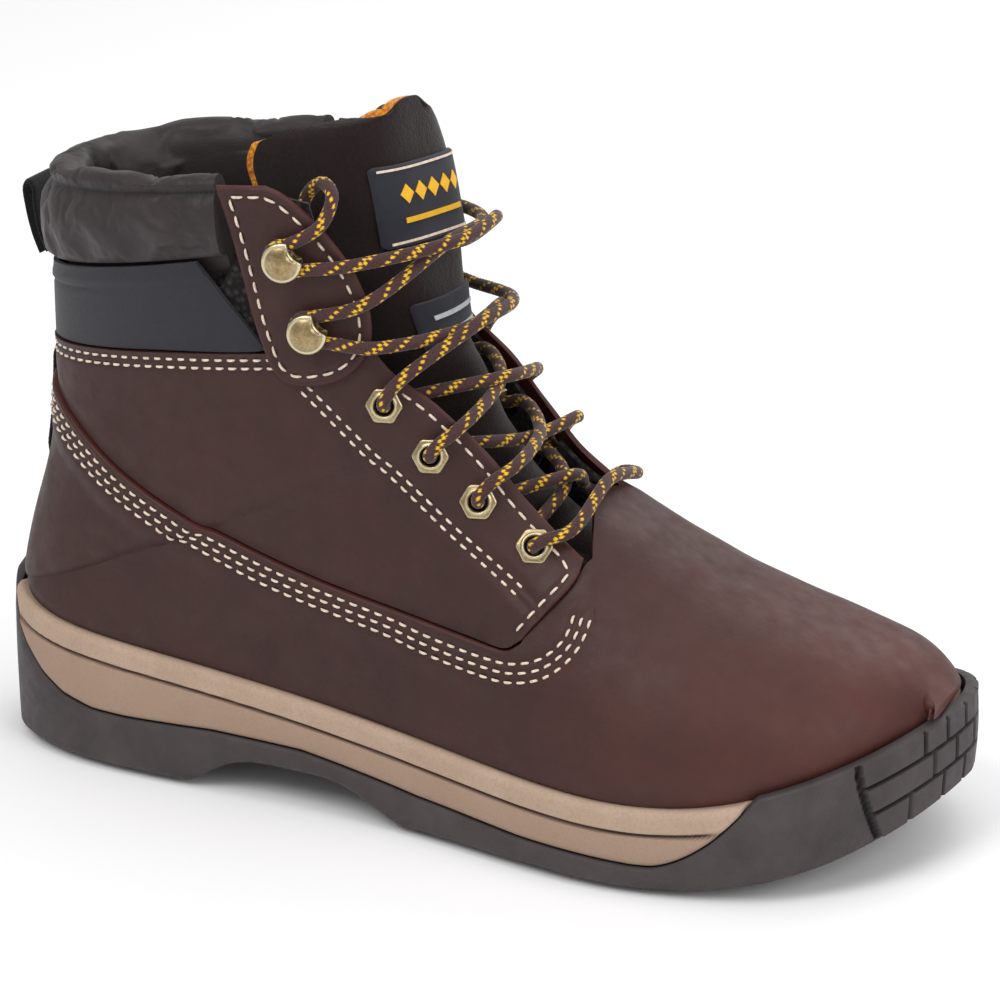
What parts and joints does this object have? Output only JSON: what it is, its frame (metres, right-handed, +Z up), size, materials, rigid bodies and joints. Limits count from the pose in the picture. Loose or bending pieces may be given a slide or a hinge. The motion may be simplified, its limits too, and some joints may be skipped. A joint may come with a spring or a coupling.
{
  "type": "steel toe work boot",
  "caption": "Ankle-high lace-up work boot for the right foot, with a steel toe cap under the leather, two-layer sole, padded collar and tongue, eyelets and lace hooks.",
  "frame": {"origin": "centre of the bounding box, on the ground plane the heel and ball treads stand on", "axes": "+X from heel to toe, +Y to the inner (big toe) side of this right boot, +Z up"},
  "size_m": [0.303, 0.1144, 0.2084],
  "materials": {
    "oiled_leather": "oiled, slightly waxy, warm dark brown",
    "outsole_rubber": "matt, fine grain",
    "tan_foam": "moulded foam, matt, fine grain",
    "collar_fabric": "smooth coated fabric over padding",
    "black_band": "woven, matt",
    "antique_brass": "antiqued, speckled, lighter rims",
    "toe_steel": "plain pressed steel",
    "black_webbing": "ribbed webbing",
    "tongue_suede": "suede",
    "tongue_lining": "terry cloth",
    "foam": "open foam",
    "mesh_lining": "knitted mesh",
    "fibre_board": "pressed fibre",
    "braided_lace": "round braid with yellow flecks",
    "label_fabric": "woven patch",
    "lace_tip": "shrunk plastic"
  },
  "bodies": {
    "boot": {"outsole": "outsole_rubber", "midsole": "tan_foam", "insole_board": "fibre_board", "footbed": "foam", "vamp": "oiled_leather", "quarter_lateral": "oiled_leather", "quarter_medial": "oiled_leather", "collar_band": "black_band", "hook_flap_lateral": "oiled_leather", "hook_flap_medial": "oiled_leather", "collar": "collar_fabric", "steel_toe_cap": "toe_steel", "toe_cap_edge_strip": "outsole_rubber", "heel_counter": "fibre_board", "quarter_lining": "mesh_lining", "vamp_lining": "mesh_lining", "back_strip": "black_webbing", "lace": "braided_lace", "lace_tip_lateral": "lace_tip", "lace_tip_medial": "lace_tip", "eyelet_lateral_1": "antique_brass", "eyelet_lateral_2": "antique_brass", "eyelet_lateral_3": "antique_brass", "eyelet_lateral_4": "antique_brass", "hook_lateral_1": "antique_brass", "hook_lateral_2": "antique_brass", "eyelet_medial_1": "antique_brass", "eyelet_medial_2": "antique_brass", "eyelet_medial_3": "antique_brass", "eyelet_medial_4": "antique_brass", "hook_medial_1": "antique_brass", "hook_medial_2": "antique_brass"},
    "tongue": {"tongue_face": "tongue_suede", "tongue_foam": "foam", "tongue_lining": "tongue_lining", "tongue_label": "label_fabric", "tongue_tag": "label_fabric"},
    "pull_loop": {"heel_pull_loop": "black_webbing"}
  },
  "joints": [
    {"name": "tongue_swing", "type": "hinge", "parent": "boot", "child": "tongue", "pos_m": [0.05775, 0, 0.08], "axis": [0, 1, 0], "range_deg": [-8, 0], "stiffness_Nm_per_rad": 0.6, "springref_deg": 20.05},
    {"name": "pull_loop_swing", "type": "hinge", "parent": "boot", "child": "pull_loop", "pos_m": [-0.13885, 0, 0.1505], "axis": [0, 1, 0], "range_deg": [-45, 0], "stiffness_Nm_per_rad": 0.01, "springref_deg": 5.73}
  ]
}
